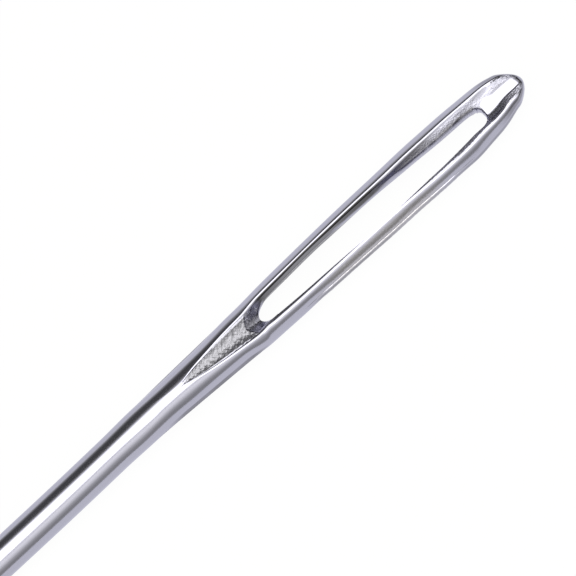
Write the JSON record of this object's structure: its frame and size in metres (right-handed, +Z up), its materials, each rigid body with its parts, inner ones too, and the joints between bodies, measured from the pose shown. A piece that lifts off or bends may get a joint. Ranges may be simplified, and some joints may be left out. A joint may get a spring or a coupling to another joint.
{
  "type": "yarn needle",
  "caption": "Blunt polished steel yarn needle with a long punched eye between pressed gutters, a round shank and a long taper.",
  "frame": {"origin": "under the middle of the needle's length, on the surface that it lies on", "axes": "+X along the needle towards the eye end, +Y across it, +Z up and through the eye"},
  "size_m": [0.07, 0.0032, 0.002],
  "materials": {
    "steel": "polished"
  },
  "bodies": {
    "root": {"shank": "steel", "head": "steel"}
  },
  "joints": []
}
